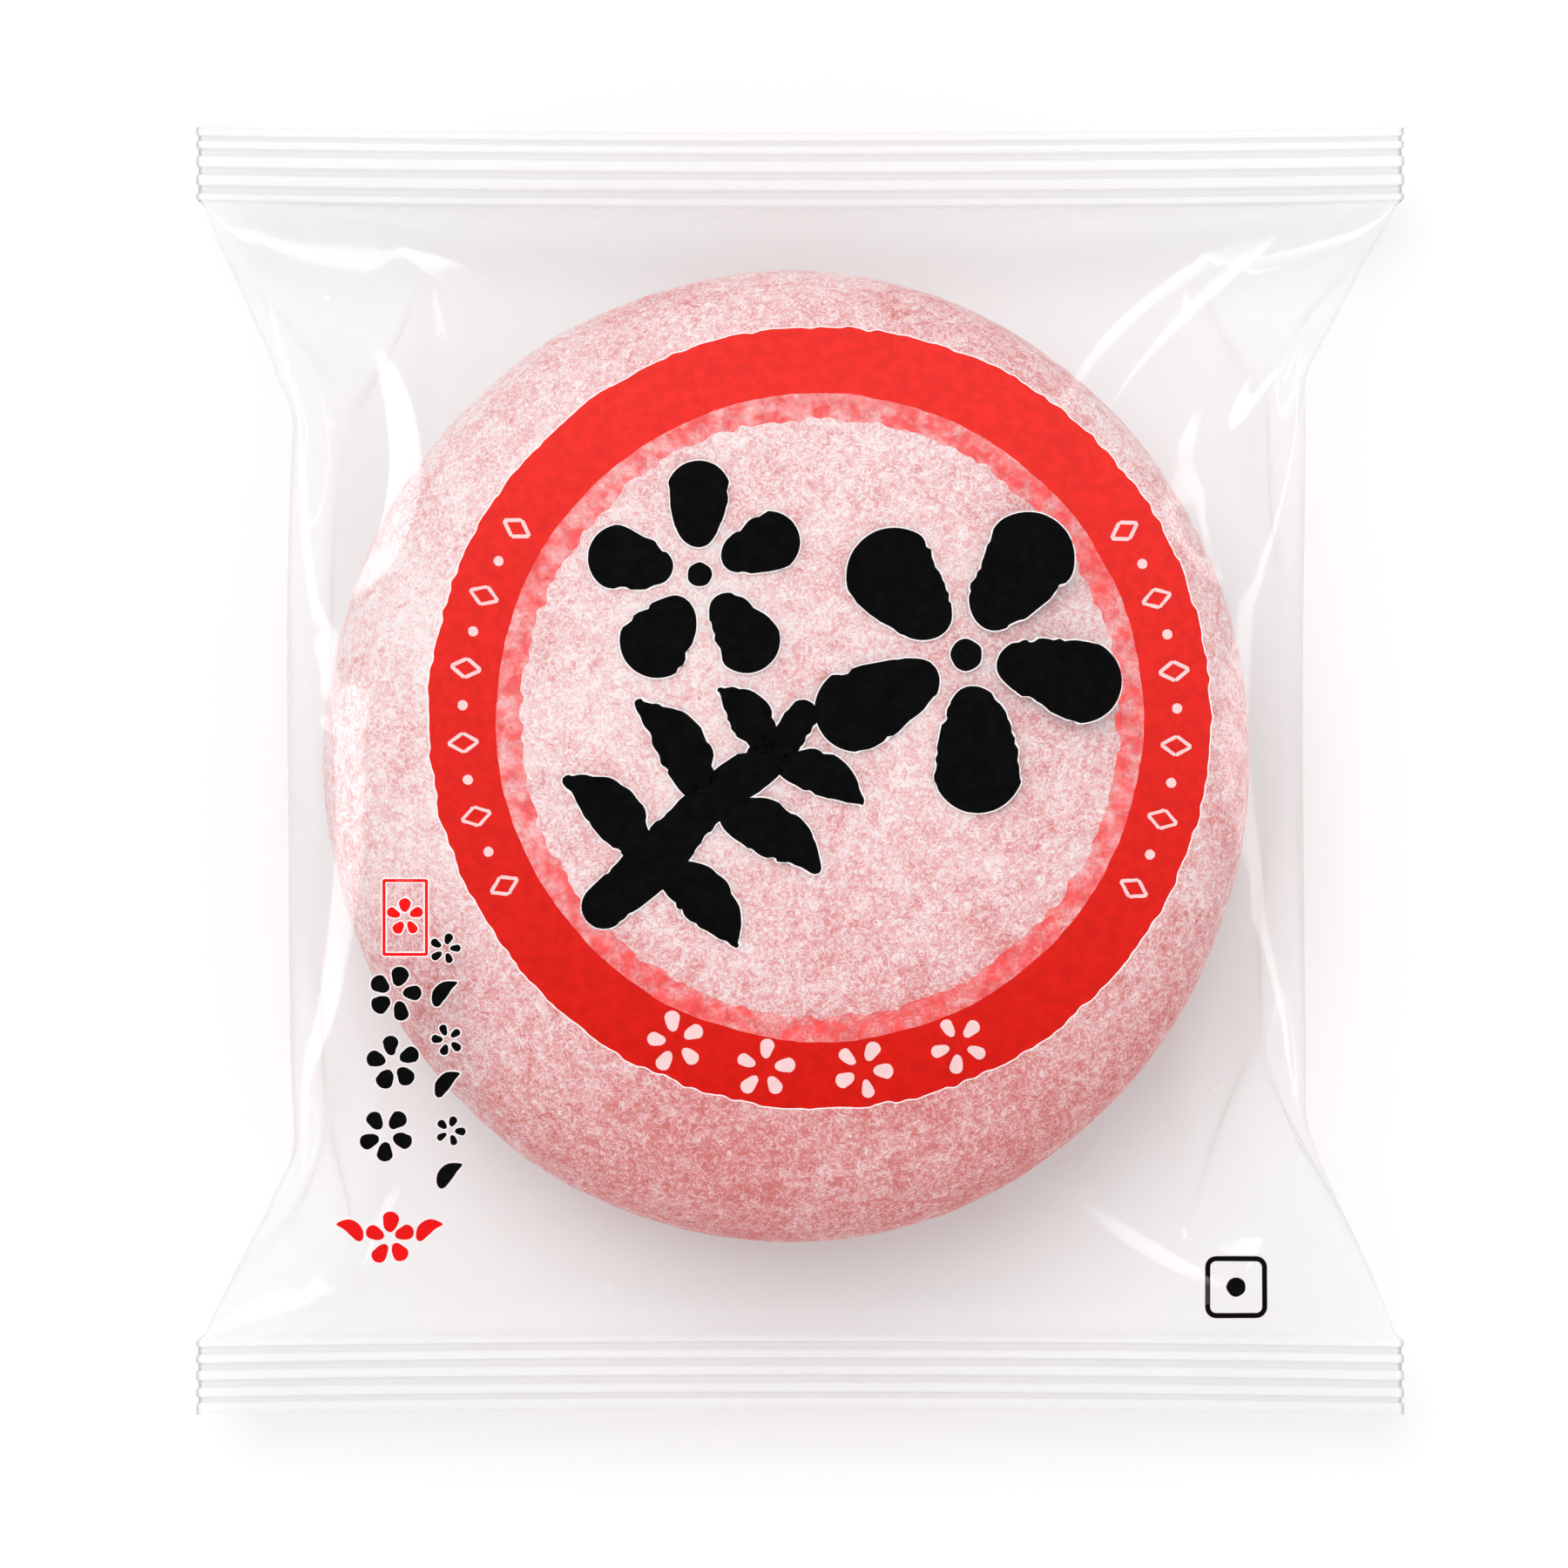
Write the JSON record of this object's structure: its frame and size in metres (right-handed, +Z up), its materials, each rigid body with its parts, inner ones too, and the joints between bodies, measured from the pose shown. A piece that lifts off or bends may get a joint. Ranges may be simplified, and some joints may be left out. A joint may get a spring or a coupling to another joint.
{
  "type": "packed daifuku",
  "caption": "Round starch-dusted rice cake sealed in a clear pillow pack with crimped end seals, lying on its back.",
  "frame": {"origin": "on the surface the pack lies on, under the middle of its outline", "axes": "+Z up through the printed face, +Y along the pack from one seal to the other, +X to the right in the picture"},
  "size_m": [0.1, 0.1066, 0.0288],
  "materials": {
    "film": "clear glossy film over a pale pink sweet",
    "sweet": "matt, dusted with starch",
    "red_print": "ink under glossy film",
    "black_print": "ink under glossy film"
  },
  "bodies": {
    "root": {"pack": "film"}
  },
  "joints": []
}
